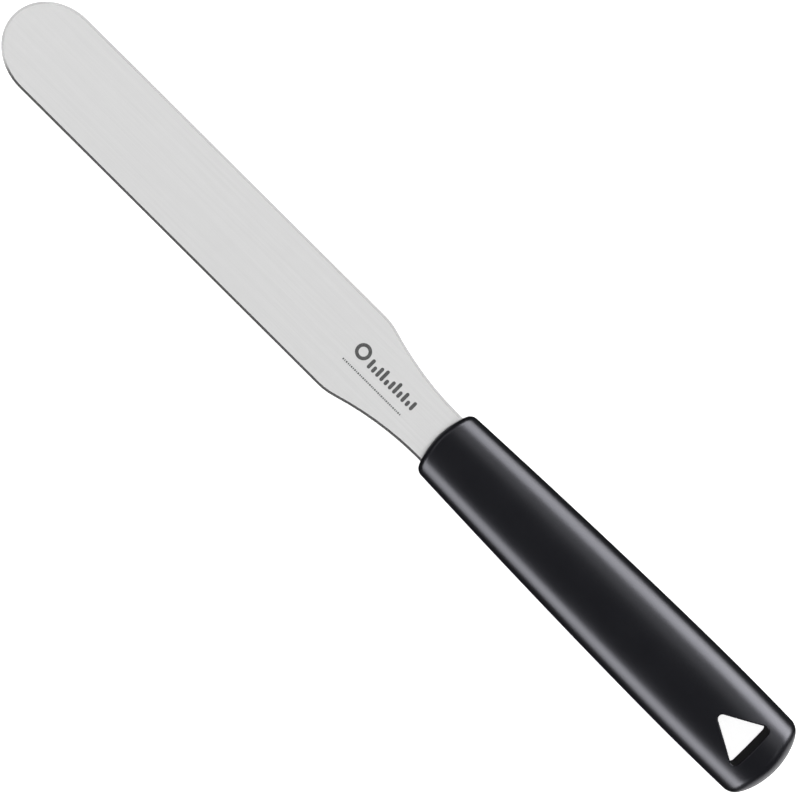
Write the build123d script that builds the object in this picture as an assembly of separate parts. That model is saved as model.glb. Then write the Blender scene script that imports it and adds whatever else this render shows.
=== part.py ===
from build123d import *
import math
import os

# Icing spatula: a flexible stainless blade with a round tip, fixed in a moulded plastic handle.
#
# Frame, in millimetres: X runs along the tool, with the blade's tip at -X and the handle's butt at +X.
# Y runs across the blade, and Z is up, square to the blade. The origin is under the middle of the tool,
# level with the handle's lowest line, so the handle lies on the plane Z = 0.
#
# Three pieces, in the order they are made:
#   blade         one strip of spring steel: ground blade, shoulders, neck, and a tang with lock holes
#   handle_core   the first shot of plastic, moulded round the tang and through its lock holes
#   handle_grip   the second shot: the outer handle, which wraps the core and has the hanging hole

# Whole tool
OVERALL_LENGTH = 334.0
HANDLE_LENGTH = 147.5

# Blade outline, seen from above
BLADE_WIDTH = 30.0
TIP_REACH = 17.5  # length of the half ellipse that ends the blade
SHOULDER_OUTER_RADIUS = 21.0  # where the blade's side turns in
SHOULDER_INNER_RADIUS = 110.0  # where it sweeps back into line with the neck
NECK_WIDTH = 18.8

# Blade thickness: the blade is ground to a taper, and the neck and tang keep the strip's thickness
TIP_THICKNESS = 0.8
STRIP_THICKNESS = 1.4
TAPER_CLEAR_OF_HANDLE = 1.0
BEVEL_WIDTH = 0.8  # the fine bevel round the edge, on both faces
BEVEL_DEPTH = 0.2

# Tang, inside the handle
NECK_IN_HANDLE = 6.0  # how far in the neck keeps its width
TANG_WIDTH = 12.0
TANG_LENGTH = 98.0
TANG_CORNER_RADIUS = 2.0
LOCK_HOLE_RADIUS = 2.6
LOCK_HOLE_COUNT = 3
LOCK_HOLE_SPACING = 32.0

# Handle: half sizes of its flattened oval section
HALF_WIDTH_FRONT = 12.2
HALF_WIDTH_MAX = 15.3
HALF_WIDTH_BUTT = 14.8
HALF_DEPTH_FRONT = 7.6
HALF_DEPTH_MAX = 9.5
HALF_DEPTH_BUTT = 9.3
WIDEST_AT = 0.78  # share of the handle's length from its front
SWELL_POWER = 1.6
OVAL_POWER = 2.3  # 2 is an ellipse, and more is squarer
FRONT_FACE_RADIUS = 26.0
BUTT_FACE_RADIUS = 27.0
FRONT_EDGE_FILLET = 1.7
BUTT_EDGE_FILLET = 2.8

# Hanging hole: a triangle that points at the blade, with a bowed base towards the butt
HOLE_POINT_FROM_BUTT = 26.3  # to the corner before it is rounded
HOLE_BASE_FROM_BUTT = 10.1
HOLE_BASE_HALF_WIDTH = 8.9
HOLE_BASE_BOW = 0.3
HOLE_CORNER_RADIUS = 1.4
HOLE_RIM_FILLET = 0.9

# Core inside the grip
SKIN = 3.0  # thickness of the grip over the core
CORE_LENGTH = 110.0
GROOVE_COUNT = 5
GROOVE_WIDTH = 4.0
GROOVE_DEPTH = 1.2

# Places along X, and half sizes
TIP_X = -OVERALL_LENGTH / 2
BUTT_X = OVERALL_LENGTH / 2
FRONT_X = BUTT_X - HANDLE_LENGTH
TANG_X = FRONT_X + NECK_IN_HANDLE
TANG_END_X = TANG_X + TANG_LENGTH
TAPER_END_X = FRONT_X - TAPER_CLEAR_OF_HANDLE
MID_Z = HALF_DEPTH_MAX
HALF_BLADE = BLADE_WIDTH / 2
HALF_NECK = NECK_WIDTH / 2
HALF_TANG = TANG_WIDTH / 2

# The two shoulder arcs turn by one angle, out of line and back
SHOULDER_RADII = SHOULDER_OUTER_RADIUS + SHOULDER_INNER_RADIUS
SHOULDER_TURN = math.acos(1 - (HALF_BLADE - HALF_NECK) / SHOULDER_RADII)
SHOULDER_X = FRONT_X - SHOULDER_RADII * math.sin(SHOULDER_TURN)

# Sizes for making and picking, not for the design
BEYOND = 40.0  # how tall a cutting solid is, centred on the blade's plane
NEAR = 0.5  # how close an edge's middle has to be to count as lying there
END_ZONE = 10.0  # stretch of the handle that holds all of an end face's edge
OVERRUN = 0.05  # how far the bar runs past each end before it is cut, as a share of its length


def upright(face):
    """A face drawn in XY, run from well below the tool to well above it."""
    return extrude(Pos(0, 0, MID_Z - BEYOND / 2) * face, BEYOND)


# ---------------------------------------------------------------- blade


def blade_outline():
    """Blade, shoulders, neck and tang from above."""
    tip_x = TIP_X + TIP_REACH
    end_x = TANG_END_X - HALF_TANG
    turn = math.degrees(SHOULDER_TURN)
    outer_centre = (SHOULDER_X, -HALF_BLADE + SHOULDER_OUTER_RADIUS)
    inner_centre = (FRONT_X, -HALF_NECK - SHOULDER_INNER_RADIUS)
    lower = [
        Line((tip_x, -HALF_BLADE), (SHOULDER_X, -HALF_BLADE)),
        CenterArc(outer_centre, SHOULDER_OUTER_RADIUS, -90, turn),
        CenterArc(inner_centre, SHOULDER_INNER_RADIUS, 90 + turn, -turn),
        Line((FRONT_X, -HALF_NECK), (TANG_X, -HALF_NECK)),
        Line((TANG_X, -HALF_NECK), (TANG_X, -HALF_TANG)),
        Line((TANG_X, -HALF_TANG), (end_x, -HALF_TANG)),
    ]
    upper = [mirror(edge, Plane.XZ) for edge in lower]
    tip = EllipticalCenterArc((tip_x, 0), TIP_REACH, HALF_BLADE, start_angle=90, arc_size=180)
    end = CenterArc((end_x, 0), HALF_TANG, -90, 180)
    outline = make_face([tip, *lower, end, *upper])
    roots = [v for v in outline.vertices() if abs(v.X - TANG_X) < NEAR and abs(v.Y) < HALF_TANG + NEAR]
    return fillet(roots, TANG_CORNER_RADIUS)


def blade_side():
    """The strip from the side: a taper almost as far as the handle, then the strip's own thickness."""
    tip = TIP_THICKNESS / 2
    strip = STRIP_THICKNESS / 2
    profile = Polyline(
        (TIP_X, MID_Z - tip),
        (TAPER_END_X, MID_Z - strip),
        (TANG_END_X, MID_Z - strip),
        (TANG_END_X, MID_Z + strip),
        (TAPER_END_X, MID_Z + strip),
        (TIP_X, MID_Z + tip),
        close=True,
    )
    return Plane.XZ * make_face(profile)


def lock_holes():
    """Round holes along the tang, which the core's plastic fills."""
    middle_x = (TANG_X + TANG_END_X) / 2
    hole = upright(Circle(LOCK_HOLE_RADIUS))
    places = [middle_x + (k - (LOCK_HOLE_COUNT - 1) / 2) * LOCK_HOLE_SPACING for k in range(LOCK_HOLE_COUNT)]
    return [Pos(x, 0) * hole for x in places]


def ground_faces(strip):
    """The blade's two large flat faces, the lower one first."""
    return strip.faces().sort_by(SortBy.AREA)[-2:].sort_by(Axis.Z)


def bevelled(strip, side):
    """The strip with a bevel round one face, 0 for the lower and 1 for the upper, on into the handle."""
    face = ground_faces(strip)[side]
    tip = face.edges().sort_by(Axis.X)[0]
    sides = [edge for edge in face.edges() if abs(edge.center().Y) > HALF_NECK]
    return chamfer([tip, *sides], BEVEL_WIDTH, BEVEL_DEPTH, reference=face)


def make_blade():
    """The steel: its outline crossed with its side profile, then drilled and bevelled."""
    strip = upright(blade_outline()) & extrude(blade_side(), BLADE_WIDTH, both=True)
    for hole in lock_holes():
        strip -= hole
    for side in (0, 1):
        strip = bevelled(strip, side)
    return strip


# ---------------------------------------------------------------- handle


def swell(share, front, largest, butt):
    """The handle fills out quickly behind its front, and draws in a little towards the butt."""
    if share < WIDEST_AT:
        return largest - (largest - front) * (1 - share / WIDEST_AT) ** SWELL_POWER
    return largest - (largest - butt) * ((share - WIDEST_AT) / (1 - WIDEST_AT)) ** 2


def oval(x, half_width, half_depth, points=24):
    """A flattened oval across X at x, as a face."""
    ring = []
    for k in range(points):
        angle = 2 * math.pi * k / points
        cos = math.cos(angle)
        sin = math.sin(angle)
        y = math.copysign(abs(cos) ** (2 / OVAL_POWER) * half_width, cos)
        z = math.copysign(abs(sin) ** (2 / OVAL_POWER) * half_depth, sin)
        ring.append((x, y, MID_Z + z))
    return make_face(Spline(ring, periodic=True))


def handle_bar(inset, start, end, stations=9):
    """The handle's swelling bar between two shares of its length, made smaller all round by inset."""
    sections = []
    for k in range(stations):
        share = start + (end - start) * k / (stations - 1)
        held = min(max(share, 0.0), 1.0)
        half_width = swell(held, HALF_WIDTH_FRONT, HALF_WIDTH_MAX, HALF_WIDTH_BUTT)
        half_depth = swell(held, HALF_DEPTH_FRONT, HALF_DEPTH_MAX, HALF_DEPTH_BUTT)
        sections.append(oval(FRONT_X + share * HANDLE_LENGTH, half_width - inset, half_depth - inset))
    return loft(sections)


def handle_outline():
    """The bowed front and butt from above, with sides that stand clear of the bar."""
    clear = HALF_WIDTH_MAX + 2
    front_x = FRONT_X + FRONT_FACE_RADIUS - math.sqrt(FRONT_FACE_RADIUS**2 - clear**2)
    butt_x = BUTT_X - BUTT_FACE_RADIUS + math.sqrt(BUTT_FACE_RADIUS**2 - clear**2)
    front = ThreePointArc((front_x, clear), (FRONT_X, 0), (front_x, -clear))
    butt = ThreePointArc((butt_x, -clear), (BUTT_X, 0), (butt_x, clear))
    sides = [Line((front_x, y), (butt_x, y)) for y in (-clear, clear)]
    return make_face([front, butt, *sides])


def hanging_hole():
    """The triangle from above, with round corners and a bowed base."""
    point_x = BUTT_X - HOLE_POINT_FROM_BUTT
    base_x = BUTT_X - HOLE_BASE_FROM_BUTT
    corners = [(base_x, -HOLE_BASE_HALF_WIDTH), (base_x, HOLE_BASE_HALF_WIDTH)]
    base = ThreePointArc(corners[0], (base_x + HOLE_BASE_BOW, 0), corners[1])
    sides = [Line((point_x, 0), corner) for corner in corners]
    triangle = make_face([base, *sides])
    return fillet(triangle.vertices(), HOLE_CORNER_RADIUS)


def hole_rims(body):
    """The hole's edges on the handle's upper and lower faces."""
    box = hanging_hole().bounding_box()
    near = [edge for edge in body.edges() if box.min.X - NEAR < edge.center().X < box.max.X + NEAR]
    near = [edge for edge in near if abs(edge.center().Y) < HOLE_BASE_HALF_WIDTH]
    return [edge for edge in near if abs(edge.center().Z - MID_Z) > HALF_DEPTH_MAX / 2]


def make_handle_body():
    """The outside of the whole handle, solid but for the hanging hole."""
    body = handle_bar(0, -OVERRUN, 1 + OVERRUN) & upright(handle_outline())
    front = [edge for edge in body.edges() if edge.center().X < FRONT_X + END_ZONE]
    body = fillet(front, FRONT_EDGE_FILLET)
    butt = [edge for edge in body.edges() if edge.center().X > BUTT_X - END_ZONE]
    body = fillet(butt, BUTT_EDGE_FILLET)
    body -= upright(hanging_hole())
    return fillet(hole_rims(body), HOLE_RIM_FILLET)


def make_core_block():
    """The core's outside: a smaller bar, with cross grooves above and below that key into the grip."""
    start = NECK_IN_HANDLE / HANDLE_LENGTH
    length = CORE_LENGTH / HANDLE_LENGTH
    block = handle_bar(SKIN, start, start + length)
    for k in range(GROOVE_COUNT):
        share = start + length * (k + 0.5) / GROOVE_COUNT
        half_depth = swell(share, HALF_DEPTH_FRONT, HALF_DEPTH_MAX, HALF_DEPTH_BUTT)
        floor = half_depth - SKIN - GROOVE_DEPTH
        for side in (-1, 1):
            middle = (FRONT_X + share * HANDLE_LENGTH, 0, MID_Z + side * (floor + BEYOND / 2))
            block -= Pos(*middle) * Box(GROOVE_WIDTH, BEYOND, BEYOND)
    return block


def make_neck_slot(blade):
    """The stretch of the steel that passes through the grip's front wall."""
    middle = (FRONT_X + NECK_IN_HANDLE / 2, 0, MID_Z)
    return blade & Pos(*middle) * Box(NECK_IN_HANDLE, BLADE_WIDTH, BLADE_WIDTH)


def main():
    blade = make_blade()
    core_block = make_core_block()
    pieces = {
        "blade": blade,
        "handle_core": core_block - blade,
        "handle_grip": make_handle_body() - make_neck_slot(blade) - core_block,
    }
    os.makedirs("parts", exist_ok=True)
    for name, piece in pieces.items():
        export_step(piece, f"parts/{name}.step")


main()
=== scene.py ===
import math

import bmesh
import bpy
import numpy as np
from mathutils import Matrix, Vector


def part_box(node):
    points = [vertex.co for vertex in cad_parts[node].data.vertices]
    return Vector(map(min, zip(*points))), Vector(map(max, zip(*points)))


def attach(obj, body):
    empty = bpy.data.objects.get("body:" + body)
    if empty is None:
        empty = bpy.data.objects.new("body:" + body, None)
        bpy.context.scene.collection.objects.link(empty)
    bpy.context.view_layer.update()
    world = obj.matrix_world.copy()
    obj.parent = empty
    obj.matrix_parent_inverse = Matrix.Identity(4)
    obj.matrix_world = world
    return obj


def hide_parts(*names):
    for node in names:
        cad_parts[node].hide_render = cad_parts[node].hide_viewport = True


# An icing spatula on a white table top: a flat steel blade, a black moulded handle and a printed mark.
# Everything is in metres, in the CAD model's own frame: +X towards the butt, +Z up, square to the blade.

MM = 0.001

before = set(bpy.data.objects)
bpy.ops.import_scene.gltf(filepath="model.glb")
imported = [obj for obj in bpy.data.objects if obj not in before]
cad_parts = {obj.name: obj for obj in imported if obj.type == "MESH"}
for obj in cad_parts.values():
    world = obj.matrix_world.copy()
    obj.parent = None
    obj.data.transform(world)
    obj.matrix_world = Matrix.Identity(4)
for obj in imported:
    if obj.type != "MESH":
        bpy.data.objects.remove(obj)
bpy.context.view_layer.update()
BLADE_LOW, BLADE_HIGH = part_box("blade")
GRIP_LOW, GRIP_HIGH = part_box("handle_grip")
TIP_X = BLADE_LOW.x
FRONT_X = GRIP_LOW.x
BUTT_X = GRIP_HIGH.x
MID_Z = (BLADE_LOW.z + BLADE_HIGH.z) / 2
MIDDLE_X = (TIP_X + BUTT_X) / 2
HANDLE_LENGTH = BUTT_X - FRONT_X


def link(name, data):
    """A new object in the scene that holds this data."""
    item = bpy.data.objects.new(name, data)
    bpy.context.scene.collection.objects.link(item)
    return item


# ---------------------------------------------------------------- camera

CAMERA_HEIGHT = 1.14  # above the blade's plane
VIEW_WIDTH = 249.5 * MM  # what the picture spans at the blade's plane
SENSOR = 36.0
TOOL_SLOPE = math.radians(44.84)  # the tool runs down to the right in the picture at this angle
AIM_RIGHT = 2.06 * MM  # from the tool's middle to the picture's centre
AIM_DOWN = 2.56 * MM
PICTURE_RIGHT = Vector((math.cos(TOOL_SLOPE), math.sin(TOOL_SLOPE), 0))
PICTURE_UP = Vector((-math.sin(TOOL_SLOPE), math.cos(TOOL_SLOPE), 0))


def make_camera():
    """Straight above the tool, turned so that the tip lies at the upper left."""
    data = bpy.data.cameras.new("camera")
    data.sensor_width = SENSOR
    data.lens = SENSOR * CAMERA_HEIGHT / VIEW_WIDTH
    camera = link("camera", data)
    aim = Vector((MIDDLE_X, 0, MID_Z)) + PICTURE_RIGHT * AIM_RIGHT - PICTURE_UP * AIM_DOWN
    turn = Matrix((PICTURE_RIGHT, PICTURE_UP, Vector((0, 0, 1)))).transposed()
    camera.matrix_world = Matrix.Translation(aim + Vector((0, 0, CAMERA_HEIGHT))) @ turn.to_4x4()
    bpy.context.scene.camera = camera


# ---------------------------------------------------------------- materials

RANGE_SOCKETS = ("From Min", "From Max", "To Min", "To Max")  # of a Map Range node
BEVEL_FACING = 0.975  # how squarely the steel's bevels face up or down, at the most
FLAT_FACING = 0.99  # and its flat sides, at the least


class Material:
    """A Principled material, with short ways to add nodes to it."""

    def __init__(self, name, colour, metallic, roughness, specular=0.5):
        self.data = bpy.data.materials.new(name)
        self.data.use_nodes = True
        self.tree = self.data.node_tree
        self.shader = self.tree.nodes["Principled BSDF"]
        self.set("Base Color", (*colour, 1))
        self.set("Metallic", metallic)
        self.set("Roughness", roughness)
        self.set("Specular IOR Level", specular)

    def set(self, socket, value):
        self.shader.inputs[socket].default_value = value

    def node(self, kind, **inputs):
        node = self.tree.nodes.new(kind)
        for name, value in inputs.items():
            self.feed(node, name.replace("_", " "), value)
        return node

    def feed(self, node, socket, value):
        if isinstance(value, bpy.types.NodeSocket):
            self.tree.links.new(value, node.inputs[socket])
        else:
            node.inputs[socket].default_value = value

    def place(self, stretch):
        """The object's own coordinates, stretched, so that a pattern runs long where stretch is small."""
        coords = self.tree.nodes.new("ShaderNodeTexCoord").outputs["Object"]
        mapping = self.tree.nodes.new("ShaderNodeMapping")
        mapping.inputs["Scale"].default_value = stretch
        self.tree.links.new(coords, mapping.inputs["Vector"])
        return mapping.outputs["Vector"]

    def noise(self, stretch, detail=2.0, rough=0.5):
        place = self.place(stretch)
        node = self.node("ShaderNodeTexNoise", Vector=place, Scale=1.0, Detail=detail, Roughness=rough)
        return node.outputs["Fac"]

    def between(self, value, low_in, high_in, low_out, high_out):
        """value carried from one range to another."""
        node = self.tree.nodes.new("ShaderNodeMapRange")
        self.tree.links.new(value, node.inputs["Value"])
        for name, number in zip(RANGE_SOCKETS, (low_in, high_in, low_out, high_out)):
            node.inputs[name].default_value = number
        return node.outputs["Result"]

    def math(self, operation, a, b=0.0):
        node = self.tree.nodes.new("ShaderNodeMath")
        node.operation = operation
        self.feed(node, 0, a)
        self.feed(node, 1, b)
        return node.outputs["Value"]

    def mix(self, share, low, high):
        """low where share is 0, and high where it is 1."""
        node = self.tree.nodes.new("ShaderNodeMix")
        for socket, value in ((0, share), (2, low), (3, high)):
            self.feed(node, socket, value)
        return node.outputs[0]

    def grey(self, value):
        """A grey of this strength."""
        return self.node("ShaderNodeCombineColor", Red=value, Green=value, Blue=value).outputs["Color"]

    def drive(self, socket, value):
        self.tree.links.new(value, self.shader.inputs[socket])

    def bump(self, height, distance, strength=1.0):
        node = self.node("ShaderNodeBump", Height=height, Strength=strength, Distance=distance)
        self.drive("Normal", node.outputs["Normal"])


def make_steel():
    """Spring steel, ground along its length, so it spreads light across it, with polished bevels."""
    steel = Material("steel", (0.56, 0.56, 0.56), 1.0, 0.4)
    steel.set("Anisotropic", 0.9)
    tangent = steel.node("ShaderNodeTangent")
    tangent.direction_type = "RADIAL"
    tangent.axis = "X"
    steel.drive("Tangent", tangent.outputs["Tangent"])
    fine = steel.noise((40, 4200, 900), detail=3, rough=0.6)
    streaks = steel.noise((9, 750, 200), detail=4, rough=0.7)
    haze = steel.noise((24, 36, 30), detail=4, rough=0.6)
    mixed = steel.math("ADD", steel.math("ADD", fine, streaks), haze)
    tone = steel.between(mixed, 1.2, 1.8, 0.535, 0.585)
    steel.drive("Base Color", steel.grey(tone))
    ground = steel.between(mixed, 1.2, 1.8, 0.37, 0.42)
    normal = steel.node("ShaderNodeNewGeometry").outputs["Normal"]
    facing = steel.node("ShaderNodeSeparateXYZ", Vector=normal)
    squarely = steel.math("ABSOLUTE", facing.outputs["Z"])
    flat = steel.between(squarely, BEVEL_FACING, FLAT_FACING, 0, 1)
    steel.drive("Roughness", steel.mix(flat, 0.14, ground))
    steel.bump(steel.math("ADD", fine, streaks), 0.0015 * MM)
    return steel.data


def make_plastic(name, colour, low, high):
    """Dark moulded plastic with a satin skin and a very fine grain; low and high are its roughness."""
    plastic = Material(name, colour, 0.0, (low + high) / 2)
    plastic.set("Specular Tint", (0.93, 0.93, 1, 1))
    grain = plastic.noise((2600, 2600, 2600), detail=2, rough=0.6)
    patches = plastic.noise((70, 110, 110), detail=4, rough=0.6)
    plastic.drive("Roughness", plastic.between(patches, 0.3, 0.7, low, high))
    plastic.bump(grain, 0.004 * MM)
    return plastic.data


def make_ink():
    """Dark printing ink, a little thin and uneven where it takes on the steel."""
    ink = Material("printed_mark", (0.04, 0.04, 0.04), 0.0, 0.5)
    cover = ink.noise((1500, 1500, 1500), detail=3, rough=0.6)
    ink.drive("Base Color", ink.grey(ink.between(cover, 0.35, 0.65, 0.025, 0.06)))
    ink.drive("Roughness", ink.between(cover, 0.35, 0.65, 0.45, 0.6))
    return ink.data


# ---------------------------------------------------------------- handle

EVENING_ROUNDS = 12  # how often the mesh's points are evened out and drawn back onto the surface
SETTLING_STEPS = 3  # steps down the slope each time that they are drawn back
ON_SURFACE = 0.02 * MM  # a point nearer than this counts as on the surface


class Handle:
    """The handle's outside as one rounded field, below 0 inside it and above 0 outside."""

    HALF_WIDTH = (GRIP_HIGH.y - GRIP_LOW.y) / 2
    HALF_DEPTH = (GRIP_HIGH.z - GRIP_LOW.z) / 2
    FRONT_WIDTH = 12.2 / 15.3  # the front's width and depth, as a share of the largest
    FRONT_DEPTH = 7.6 / 9.5
    BUTT_SHARE = 14.8 / 15.3
    WIDEST_AT = 0.78  # share of the length from the front
    SWELL_POWER = 1.6
    OVAL_POWER = 2.3
    FRONT_FACE_RADIUS = 26 * MM
    BUTT_FACE_RADIUS = 27 * MM
    FRONT_EDGES = (1.5 * MM, 1.9 * MM)  # radius at the sides, and above and below
    BUTT_EDGES = (1.8 * MM, 4.2 * MM)
    HOLE_POINT = 26.3 * MM  # from the butt
    HOLE_BASE = 10.1 * MM
    HOLE_HALF_WIDTH = 8.9 * MM
    HOLE_BOW = 0.3 * MM
    HOLE_CORNER = 1.4 * MM
    HOLE_RIM = 0.45 * MM

    def swell(self, x, front):
        """How full the handle is at x, from front at its front end to 1 at its widest."""
        share = np.clip((x - FRONT_X) / HANDLE_LENGTH, 0, 1)
        rise = 1 - (1 - front) * np.clip(1 - share / self.WIDEST_AT, 0, 1) ** self.SWELL_POWER
        fall = (1 - self.BUTT_SHARE) * np.clip((share - self.WIDEST_AT) / (1 - self.WIDEST_AT), 0, 1) ** 2
        return rise - fall

    def bar(self, x, y, z):
        """Distance from the long oval bar, and how far round its section the point lies from the side."""
        width = self.HALF_WIDTH * self.swell(x, self.FRONT_WIDTH)
        depth = self.HALF_DEPTH * self.swell(x, self.FRONT_DEPTH)
        p = self.OVAL_POWER
        u = np.abs(y) / width + 1e-9
        v = np.abs(z - MID_Z) / depth + 1e-9
        total = u**p + v**p
        slope = total ** (1 / p - 1) * np.hypot(u ** (p - 1) / width, v ** (p - 1) / depth)
        return (total ** (1 / p) - 1) / slope, v**p / total

    def end(self, x, y, face_x, radius, way):
        """Distance from an end face that bows outwards, way being -1 for the front and 1 for the butt."""
        along = np.maximum(way * (x - face_x) + radius, 0)
        return np.hypot(along, y) - radius

    def hole(self, x, y):
        """Distance from the triangle, below 0 in the opening, with round corners and a bowed base."""
        base_x = BUTT_X - self.HOLE_BASE
        point_x = BUTT_X - self.HOLE_POINT
        share = np.clip((x - point_x) / (base_x - point_x), 0, 1)
        x = x - self.HOLE_BOW * share * np.clip(1 - (y / self.HOLE_HALF_WIDTH) ** 2, 0, 1)
        corners = self.inset_triangle(point_x, base_x)
        outside = np.full(x.shape, np.inf)
        winding = np.full(x.shape, np.inf)
        for start, finish in zip(corners, np.roll(corners, -1, axis=0)):
            side = finish - start
            to_x = x - start[0]
            to_y = y - start[1]
            along = np.clip((to_x * side[0] + to_y * side[1]) / (side @ side), 0, 1)
            outside = np.minimum(outside, np.hypot(to_x - along * side[0], to_y - along * side[1]))
            winding = np.minimum(winding, side[0] * to_y - side[1] * to_x)
        return np.where(winding > 0, -outside, outside) - self.HOLE_CORNER

    def inset_triangle(self, point_x, base_x):
        """The triangle's corners, drawn in by the corner radius, in turn to the left."""
        half = math.atan2(self.HOLE_HALF_WIDTH, base_x - point_x)
        r = self.HOLE_CORNER
        inner_point = point_x + r / math.sin(half)
        inner_base = base_x - r
        reach = (inner_base - inner_point) * math.tan(half)
        return np.array([(inner_point, 0), (inner_base, -reach), (inner_base, reach)])

    def field(self, x, y, z):
        bar, round_section = self.bar(x, y, z)
        front = self.end(x, y, FRONT_X, self.FRONT_FACE_RADIUS, -1)
        butt = self.end(x, y, BUTT_X, self.BUTT_FACE_RADIUS, 1)
        body = rounded(bar, front, between(round_section, *self.FRONT_EDGES))
        body = rounded(body, butt, between(round_section, *self.BUTT_EDGES))
        return rounded(body, -self.hole(x, y), self.HOLE_RIM)


def between(share, start, finish):
    """A smooth change from start, where share is 0, to finish, where it is 1."""
    return start + (finish - start) * share**2 * (3 - 2 * share)


def rounded(a, b, radius):
    """The space inside both fields, with the edge where they meet rounded."""
    sharp = np.minimum(np.maximum(a, b), -radius)
    return sharp + np.hypot(np.maximum(a + radius, 0), np.maximum(b + radius, 0))


def steps(*stops):
    """Grid lines through (place, spacing) stops, each spacing holding up to the next place."""
    lines = []
    for (start, spacing), (finish, _) in zip(stops, stops[1:]):
        count = max(1, round((finish - start) / spacing))
        lines += [start + (finish - start) * k / count for k in range(count)]
    return np.array(lines + [stops[-1][0]])


def surface_mesh(name, field, xs, ys, zs):
    """A closed mesh of quads on the field's surface, one point to each grid cell that it crosses."""
    inside = field(*np.meshgrid(xs, ys, zs, indexing="ij")) < 0
    cells = tuple(n - 1 for n in inside.shape)
    corners = [
        inside[i : i + cells[0], j : j + cells[1], k : k + cells[2]]
        for i in (0, 1)
        for j in (0, 1)
        for k in (0, 1)
    ]
    filled = np.sum(corners, axis=0)
    crossed = (filled > 0) & (filled < 8)
    index = np.full(cells, -1)
    index[crossed] = np.arange(crossed.sum())
    at = np.nonzero(crossed)
    points = np.stack([(line[i] + line[i + 1]) / 2 for line, i in zip((xs, ys, zs), at)], axis=1)
    quads = []
    for axis in range(3):
        low = inside.take(range(inside.shape[axis] - 1), axis)
        high = inside.take(range(1, inside.shape[axis]), axis)
        edges = np.stack(np.nonzero(low != high), axis=1)
        a = (axis + 1) % 3
        b = (axis + 2) % 3
        ring = []
        for step_a, step_b in ((0, 0), (-1, 0), (-1, -1), (0, -1)):
            cell = edges.copy()
            cell[:, a] += step_a
            cell[:, b] += step_b
            ring.append(index[tuple(cell.T)])
        ring = np.stack(ring, axis=1)
        outward = low[tuple(edges.T)]
        quads.append(np.where(outward[:, None], ring, ring[:, ::-1]))
    quads = np.concatenate(quads)
    for _ in range(EVENING_ROUNDS):
        points = settled(field, evened(points, quads))
    mesh = bpy.data.meshes.new(name)
    mesh.from_pydata(points.tolist(), [], quads.tolist())
    mesh.update()
    mesh.shade_smooth()
    return mesh


def evened(points, quads):
    """Each point moved half way to the middle of its neighbours."""
    total = np.zeros_like(points)
    count = np.zeros(len(points))
    for k in range(4):
        here = quads[:, k]
        for other in (quads[:, k - 1], quads[:, (k + 1) % 4]):
            np.add.at(total, here, points[other])
            np.add.at(count, here, 1)
    return (points + total / count[:, None]) / 2


def slope_of(field, points):
    """How fast the field rises along X, Y and Z at each point."""
    reach = 0.01 * MM
    moves = np.eye(3) * reach
    rises = [field(*(points + move).T) - field(*(points - move).T) for move in moves]
    return np.stack(rises, axis=1) / (2 * reach)


def settled(field, points):
    """The points drawn onto the field's surface, down its slope."""
    for _ in range(SETTLING_STEPS):
        slope = slope_of(field, points)
        steep = np.sum(slope**2, axis=1)
        points = points - slope * (field(*points.T) / np.maximum(steep, 0.05))[:, None]
    return points


def cut(piece, *cutters):
    """The piece's mesh with these objects taken out of it."""
    for cutter in cutters:
        change = piece.modifiers.new(cutter.name, "BOOLEAN")
        change.operation = "DIFFERENCE"
        change.solver = "EXACT"
        change.object = cutter
    result = piece.evaluated_get(bpy.context.evaluated_depsgraph_get())
    mesh = bpy.data.meshes.new_from_object(result)
    piece.modifiers.clear()
    piece.data = mesh


def keep_largest_part(mesh):
    """The slivers that a cut leaves between facets are dropped, and only the largest joined part stays."""
    whole = bmesh.new()
    whole.from_mesh(mesh)
    left = set(whole.verts)
    parts = []
    while left:
        reached = [left.pop()]
        for vert in reached:
            for edge in vert.link_edges:
                other = edge.other_vert(vert)
                if other in left:
                    left.remove(other)
                    reached.append(other)
        parts.append(reached)
    parts.sort(key=len)
    slivers = [vert for part in parts[:-1] for vert in part]
    bmesh.ops.delete(whole, geom=slivers, context="VERTS")
    whole.to_mesh(mesh)
    whole.free()


def shade(mesh, field):
    """Shading that follows the field where a face lies on it, and is flat on the cut faces."""

    def read(items, name, width, kind=float):
        values = np.empty(len(items) * width, kind)
        items.foreach_get(name, values)
        return values.reshape(-1, width)

    points = read(mesh.vertices, "co", 3)
    corner = read(mesh.loops, "vertex_index", 1, int)[:, 0]
    sides = read(mesh.polygons, "loop_total", 1, int)[:, 0]
    flat = np.repeat(read(mesh.polygons, "normal", 3), sides, axis=0)
    slope = slope_of(field, points)
    slope = (slope / np.linalg.norm(slope, axis=1)[:, None])[corner]
    near = np.abs(field(*points.T))[corner] < ON_SURFACE
    outside = near & (np.sum(slope * flat, axis=1) > 0.8)
    mesh.normals_split_custom_set(np.where(outside[:, None], slope, flat).tolist())


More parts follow.
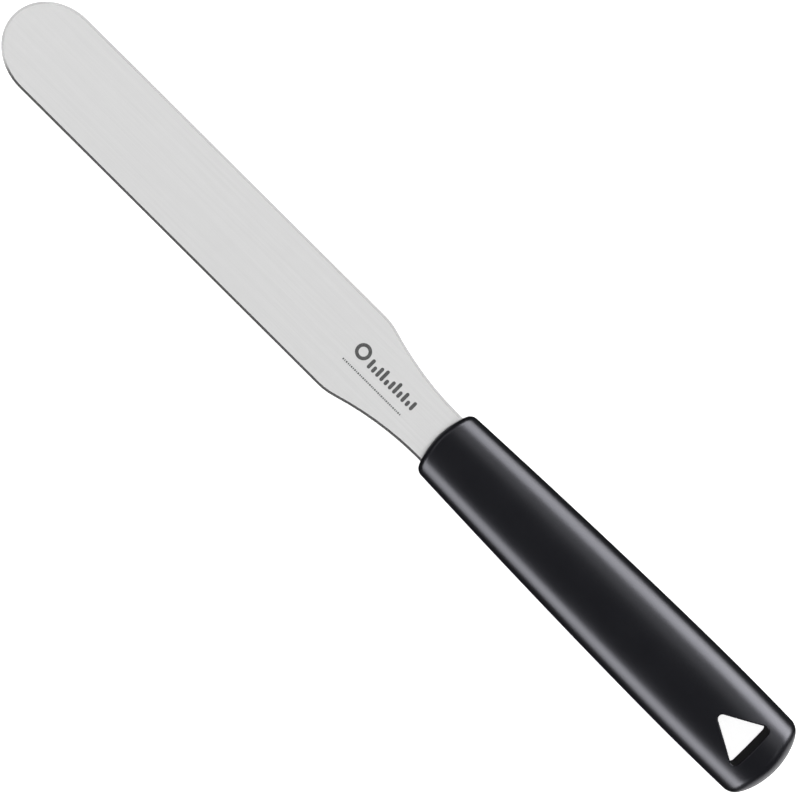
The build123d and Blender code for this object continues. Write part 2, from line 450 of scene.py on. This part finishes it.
def make_handle(material):
    """The outer handle, hollow for the core and open at its front for the neck of the steel."""
    over = 1.2 * MM
    coarse = 1.4 * MM
    plain = 0.5 * MM
    fine = 0.22 * MM  # for the narrow rim of the hole
    xs = steps(
        (FRONT_X - over, plain),
        (FRONT_X + 6 * MM, coarse),
        (BUTT_X - 30 * MM, plain),
        (BUTT_X - 27.5 * MM, fine),
        (BUTT_X - 9 * MM, plain),
        (BUTT_X + over, 0),
    )
    ys = steps((GRIP_LOW.y - over, plain), (-10 * MM, fine), (10 * MM, plain), (GRIP_HIGH.y + over, 0))
    zs = steps(
        (GRIP_LOW.z - over, fine),
        (GRIP_LOW.z + 2.5 * MM, plain),
        (GRIP_HIGH.z - 2.5 * MM, fine),
        (GRIP_HIGH.z + over, 0),
    )
    shape = Handle()
    mesh = surface_mesh("handle", shape.field, xs, ys, zs)
    mesh.materials.append(material)
    piece = link("handle", mesh)
    cut(piece, core, blade)
    keep_largest_part(piece.data)
    shade(piece.data, shape.field)
    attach(piece, "root")
    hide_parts("handle_grip")
    return piece


# ---------------------------------------------------------------- printed mark

INK_DEPTH = 0.02 * MM
SIGN_MIDDLE = (-15.4, 2.3)  # the ring at the left of the mark, all in mm
SIGN_RADII = (2.7, 1.55)
BAR_START = -11.0
BAR_STEP = 1.85
BAR_WIDTH = 1.15
BAR_FOOT = -0.5
BAR_HEIGHTS = (3.6, 2.3, 3.6, 4.2, 2.0, 3.1, 4.2, 2.4, 3.6, 2.0, 3.2)
LINE_START = -18.6
LINE_Y = -3.65
LINE_WIDTH = 0.65
DASH_LENGTHS = (0.5, 0.3, 0.6, 0.4, 0.3, 0.55, 0.35) * 5
DASH_GAP = 0.3


def stadium(left, low, width, height, turns=8):
    """A bar with round ends, as points to the left round it."""
    r = min(width, height) / 2
    ring = []
    for quarter, (x, y) in enumerate(((1, 0), (1, 1), (0, 1), (0, 0))):
        middle_x = left + r + x * (width - 2 * r)
        middle_y = low + r + y * (height - 2 * r)
        for k in range(turns + 1):
            angle = math.pi / 2 * (quarter - 1 + k / turns)
            ring.append((middle_x + r * math.cos(angle), middle_y + r * math.sin(angle)))
    return ring


def circle(middle, radius, count=48):
    """A ring of points to the left round a middle."""
    angles = [2 * math.pi * k / count for k in range(count)]
    return [(middle[0] + radius * math.cos(a), middle[1] + radius * math.sin(a)) for a in angles]


def make_mark(material):
    """A generic ring, a row of bars and a broken line, printed on the blade just before the handle."""
    heights = {}
    for x in (LINE_START, -LINE_START):
        _, point, _, _ = blade.ray_cast(Vector((x * MM, 0, 1)), Vector((0, 0, -1)))
        heights[x] = point.z
    slope = (heights[-LINE_START] - heights[LINE_START]) / (-2 * LINE_START)

    def level(x):
        return heights[LINE_START] + (x - LINE_START) * slope

    print_mesh = bmesh.new()

    def layer(outline, rise):
        return [print_mesh.verts.new((x * MM, y * MM, level(x) + rise)) for x, y in outline]

    def wall(low, high):
        for k in range(len(low)):
            print_mesh.faces.new((low[k - 1], low[k], high[k], high[k - 1]))

    def solid(outline):
        low = layer(outline, -INK_DEPTH / 4)
        high = layer(outline, INK_DEPTH)
        wall(low, high)
        print_mesh.faces.new(high)
        print_mesh.faces.new(low[::-1])

    for k, height in enumerate(BAR_HEIGHTS):
        solid(stadium(BAR_START + k * BAR_STEP - BAR_WIDTH / 2, BAR_FOOT, BAR_WIDTH, height))
    left = LINE_START
    for length in DASH_LENGTHS:
        solid(stadium(left, LINE_Y - LINE_WIDTH / 2, length, LINE_WIDTH))
        left += length + DASH_GAP
    outer, inner = (circle(SIGN_MIDDLE, r) for r in SIGN_RADII)
    around = ((outer, -INK_DEPTH / 4), (outer, INK_DEPTH), (inner, INK_DEPTH), (inner, -INK_DEPTH / 4))
    rings = [layer(outline, rise) for outline, rise in around]
    for k in range(4):
        wall(rings[k - 1], rings[k])
    bmesh.ops.remove_doubles(print_mesh, verts=print_mesh.verts, dist=0.001 * MM)
    mesh = bpy.data.meshes.new("printed_mark")
    print_mesh.to_mesh(mesh)
    print_mesh.free()
    mesh.materials.append(material)
    piece = link("printed_mark", mesh)
    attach(piece, "root")
    return piece


# ---------------------------------------------------------------- floor and light


def make_floor():
    """A matt white table top, which glossy surfaces don't mirror."""
    half = 6.0
    mesh = bpy.data.meshes.new("floor")
    corners = [(-half, -half, 0), (half, -half, 0), (half, half, 0), (-half, half, 0)]
    mesh.from_pydata(corners, [], [(0, 1, 2, 3)])
    top = Material("floor", (0.85, 0.85, 0.85), 0.0, 0.9, specular=0.1)
    top.set("Emission Color", (1, 1, 1, 1))
    top.set("Emission Strength", 0.75)
    mesh.materials.append(top.data)
    floor = link("floor", mesh)
    floor.location.z = -0.02 * MM
    floor.visible_glossy = False
    floor.visible_shadow = False


def panel(name, azimuth, tilt, distance, size, radiance, colour=(1, 1, 1), shift=0.0, seen_in=None):
    """A flat lamp that faces the tool: azimuth from +X, tilt from straight up, both in degrees.

    size is its height and its width as the tool sees them, and shift moves it along X. It is only a
    reflection in the surfaces of the pieces in seen_in, or, where that is None, it lights the matt side
    of everything.
    """
    data = bpy.data.lights.new(name, "AREA")
    data.shape = "RECTANGLE"
    data.size, data.size_y = size
    data.energy = radiance * math.pi * size[0] * size[1]
    data.color = colour
    lamp = link(name, data)
    a = math.radians(azimuth)
    t = math.radians(tilt)
    away = Vector((math.cos(a) * math.sin(t), math.sin(a) * math.sin(t), math.cos(t)))
    side = Vector((-math.sin(a), math.cos(a), 0))
    turn = Matrix((side.cross(away), side, away)).transposed()
    lamp.matrix_world = Matrix.Translation(Vector((shift, 0, MID_Z)) + away * distance) @ turn.to_4x4()
    lamp.visible_camera = False
    lamp.visible_diffuse = seen_in is None
    lamp.visible_glossy = seen_in is not None
    if seen_in:
        lamp.light_linking.receiver_collection = bpy.data.collections.new(name)
        for piece in seen_in:
            lamp.light_linking.receiver_collection.objects.link(piece)


ROOM_DARK = 0.12  # the room's strength above the table
ROOM_BAND = 1.1  # in its pale band
ROOM_BELOW = 0.03  # and below the table
BAND_SIDE = (-0.6, 0.8, 0)  # the way to the side of the room that holds the band
COOL = (1.0, 1.0, 1.02)  # the strips are a little blue


def make_world():
    """A dim room as the glossy surfaces see it, nearly dark below, with a pale band high on one side."""
    world = bpy.data.worlds.new("room")
    bpy.context.scene.world = world
    world.use_nodes = True
    tree = world.node_tree

    def put(node, socket, value):
        if isinstance(value, bpy.types.NodeSocket):
            tree.links.new(value, node.inputs[socket])
        else:
            node.inputs[socket].default_value = value

    def ramp(value, from_low, from_high, to_low, to_high):
        node = tree.nodes.new("ShaderNodeMapRange")
        node.interpolation_type = "SMOOTHSTEP"
        put(node, "Value", value)
        for socket, number in zip(RANGE_SOCKETS, (from_low, from_high, to_low, to_high)):
            put(node, socket, number)
        return node.outputs["Result"]

    def times(a, b):
        node = tree.nodes.new("ShaderNodeMath")
        node.operation = "MULTIPLY"
        put(node, 0, a)
        put(node, 1, b)
        return node.outputs["Value"]

    def along(direction):
        node = tree.nodes.new("ShaderNodeVectorMath")
        node.operation = "DOT_PRODUCT"
        put(node, 0, way)
        put(node, 1, direction)
        return node.outputs["Value"]

    way = tree.nodes.new("ShaderNodeTexCoord").outputs["Generated"]
    height = along((0, 0, 1))
    band = times(ramp(height, 0.95, 0.9, 0, 1), ramp(height, 0.72, 0.8, 0, 1))
    band = times(band, ramp(along(BAND_SIDE), -0.19, -0.11, 0, 1))
    above = ramp(band, 0, 1, ROOM_DARK, ROOM_BAND)
    background = tree.nodes["Background"]
    background.inputs["Color"].default_value = (1, 1, 1, 1)
    tree.links.new(ramp(height, -0.06, 0.0, ROOM_BELOW, above), background.inputs["Strength"])


def make_lights(steel, plastic):
    """Soft strips along both sides for the handle, and a ring of paler cards for the steel."""
    make_world()
    panel("fill", 90, 0, 3.0, (4.0, 4.0), 2.2)
    panel("right_strip", 90, 62, 2.0, (1.0, 2.2), 7.4, COOL, shift=0.2, seen_in=plastic)
    panel("right_edge", 90, 83, 2.0, (0.6, 2.2), 5.2, COOL, shift=0.2, seen_in=plastic)
    panel("right_far", 90, 66, 1.98, (1.1, 1.0), 3.6, COOL, shift=0.85, seen_in=plastic)
    panel("left_strip", -90, 63, 2.0, (0.8, 2.2), 7.0, COOL, shift=0.2, seen_in=plastic)
    panel("left_edge", -90, 82, 2.0, (0.55, 2.2), 4.4, COOL, shift=0.2, seen_in=plastic)
    panel("left_far", -90, 68, 1.98, (0.8, 1.0), 1.9, COOL, shift=0.85, seen_in=plastic)
    panel("butt_low", 0, 110, 2.0, (2.0, 2.8), 2.3, seen_in=plastic)
    panel("top_card", 90, 3, 2.0, (1.0, 2.2), 2.25, seen_in=steel)
    panel("right_card", 90, 65, 2.0, (1.46, 5.0), 1.55, seen_in=steel)
    panel("left_card", -90, 65, 2.0, (1.46, 5.0), 1.55, seen_in=steel)
    panel("tip_card", 180, 65, 2.0, (1.46, 3.0), 1.0, seen_in=steel)
    panel("butt_card", 0, 65, 2.0, (1.46, 3.0), 1.0, seen_in=steel)
    panel("right_low", 90, 115, 2.0, (1.4, 5.0), 0.5, seen_in=steel)
    panel("left_low", -90, 115, 2.0, (1.4, 5.0), 0.5, seen_in=steel)


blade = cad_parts["blade"]
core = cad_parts["handle_core"]
blade.material_slots[0].material = make_steel()
core.material_slots[0].material = make_plastic("core_plastic", (0.006, 0.006, 0.007), 0.45, 0.55)
grip = make_handle(make_plastic("grip_plastic", (0.0025, 0.0026, 0.0042), 0.28, 0.315))
mark = make_mark(make_ink())

make_camera()
make_floor()
make_lights((blade, mark), (core, grip))
bpy.context.scene.view_settings.view_transform = "Standard"
